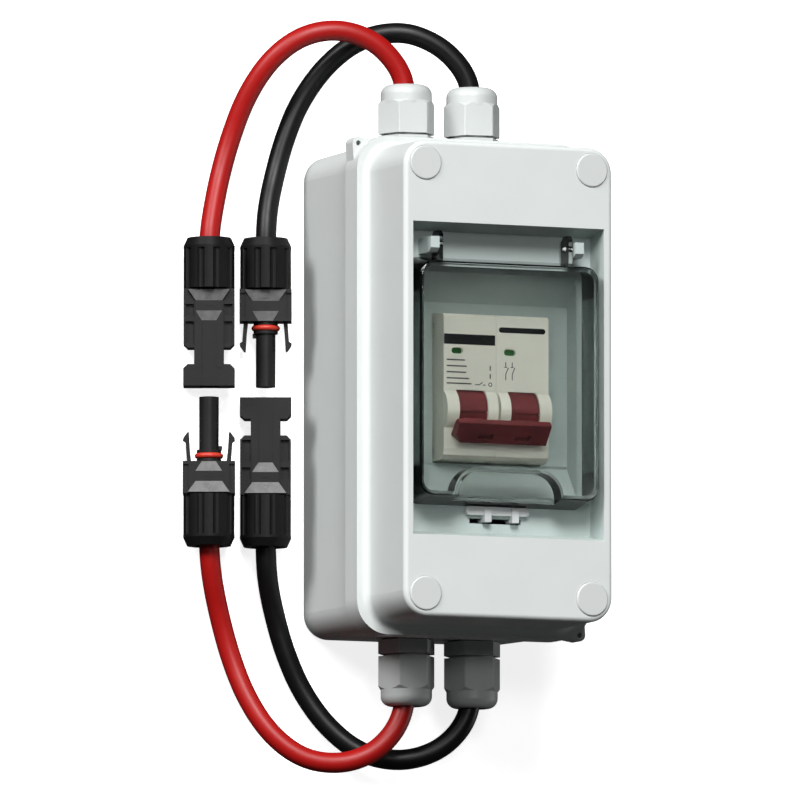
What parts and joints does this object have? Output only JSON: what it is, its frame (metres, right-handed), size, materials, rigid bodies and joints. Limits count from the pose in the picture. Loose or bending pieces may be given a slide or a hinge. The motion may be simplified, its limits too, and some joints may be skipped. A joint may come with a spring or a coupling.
{
  "type": "dc combiner box",
  "caption": "Small wall enclosure with a hinged smoky window over a two-pole breaker, round cable glands and short photovoltaic leads with plug connectors.",
  "frame": {"origin": "centre of the flat back, which lies on the surface", "axes": "+X to the right of a person facing the door, +Y up the wall towards the top glands, +Z out of the lid"},
  "size_m": [0.1197, 0.236, 0.079],
  "materials": {
    "enclosure_white": "fine-textured light grey-white ABS",
    "cap_white": "smooth white plastic",
    "smoky_clear": "smoky transparent polycarbonate",
    "breaker_cream": "cream thermoset moulding",
    "toggle_maroon": "dark red moulded plastic",
    "flag_green": "green printed plastic",
    "flag_red": "red printed plastic",
    "lens_clear": "clear polycarbonate",
    "zinc_steel": "zinc-plated steel",
    "brass": "machined brass",
    "copper_tinned": "tin-plated copper",
    "coil_copper": "enamelled copper winding",
    "gland_white": "light grey nylon",
    "seal_rubber": "black rubber",
    "seal_red": "red silicone rubber",
    "gasket_rubber": "dark foam rubber",
    "cable_red": "red cable sheath",
    "cable_black": "black cable sheath",
    "plug_black": "black moulded PPO"
  },
  "bodies": {
    "box": {"base_shell": "enclosure_white", "cover_shell": "enclosure_white", "lid_gasket": "gasket_rubber", "lid_screws": "zinc_steel", "screw_caps": "cap_white", "din_rail": "zinc_steel", "rail_screws": "zinc_steel", "door_hinge_pins": "cap_white", "door_catch": "cap_white", "pole_case_left": "breaker_cream", "pole_case_right": "breaker_cream", "toggle_pivot_pins": "zinc_steel", "state_window_lenses": "lens_clear", "terminal_screws": "zinc_steel", "terminal_clamps": "brass", "fixed_contacts": "copper_tinned", "arc_chute_plates": "zinc_steel", "trip_coils": "coil_copper", "case_rivets": "zinc_steel", "gland_seals": "seal_rubber", "gland_locknuts": "gland_white", "gland_washers": "seal_rubber", "inner_leads_red": "cable_red", "inner_leads_black": "cable_black", "plug_cable_seals": "seal_rubber", "plug_face_seals": "seal_red", "gland_body_top_left": "gland_white", "gland_nut_top_left": "gland_white", "gland_body_top_right": "gland_white", "gland_nut_top_right": "gland_white", "cable_top_red": "cable_red", "plug_housing_top_red": "plug_black", "plug_nut_top_red": "plug_black", "plug_contact_top_red": "copper_tinned", "cable_top_black": "cable_black", "plug_housing_top_black": "plug_black", "plug_nut_top_black": "plug_black", "plug_contact_top_black": "copper_tinned", "gland_body_low_left": "gland_white", "gland_nut_low_left": "gland_white", "gland_body_low_right": "gland_white", "gland_nut_low_right": "gland_white", "cable_low_red": "cable_red", "plug_housing_low_red": "plug_black", "plug_nut_low_red": "plug_black", "plug_contact_low_red": "copper_tinned", "cable_low_black": "cable_black", "plug_housing_low_black": "plug_black", "plug_nut_low_black": "plug_black", "plug_contact_low_black": "copper_tinned"},
    "door": {"window_door": "smoky_clear"},
    "toggle": {"toggle_left": "toggle_maroon", "toggle_right": "toggle_maroon", "handle_tie_bar": "toggle_maroon"},
    "state_flags": {"state_flags_green": "flag_green", "state_flags_red": "flag_red"},
    "contacts": {"moving_contacts": "copper_tinned"},
    "rail_clips_body": {"rail_clips": "breaker_cream"}
  },
  "joints": [
    {"name": "door_hinge", "type": "hinge", "parent": "box", "child": "door", "pos_m": [0, 0.0422, 0.073], "axis": [-1, 0, 0], "range_deg": [0, 95]},
    {"name": "toggle_throw", "type": "hinge", "parent": "box", "child": "toggle", "pos_m": [0, -0.0085, 0.0638], "axis": [-1, 0, 0], "range_deg": [0, 80]},
    {"name": "flag_slide", "type": "slide", "parent": "box", "child": "state_flags", "axis": [0, 1, 0], "range_m": [0, 0.0026]},
    {"name": "contact_swing", "type": "hinge", "parent": "box", "child": "contacts", "pos_m": [0, -0.0085, 0.05], "axis": [1, 0, 0], "range_deg": [0, 16.1]},
    {"name": "rail_clip_slide", "type": "slide", "parent": "box", "child": "rail_clips_body", "axis": [0, -1, 0], "range_m": [0, 0.003], "stiffness_N_per_m": 300, "springref_m": -0.001}
  ],
  "couplings": [
    {"joint": "flag_slide", "follows": "toggle_throw", "m_per_rad": 0.00179},
    {"joint": "contact_swing", "follows": "toggle_throw", "ratio": 0.2}
  ]
}
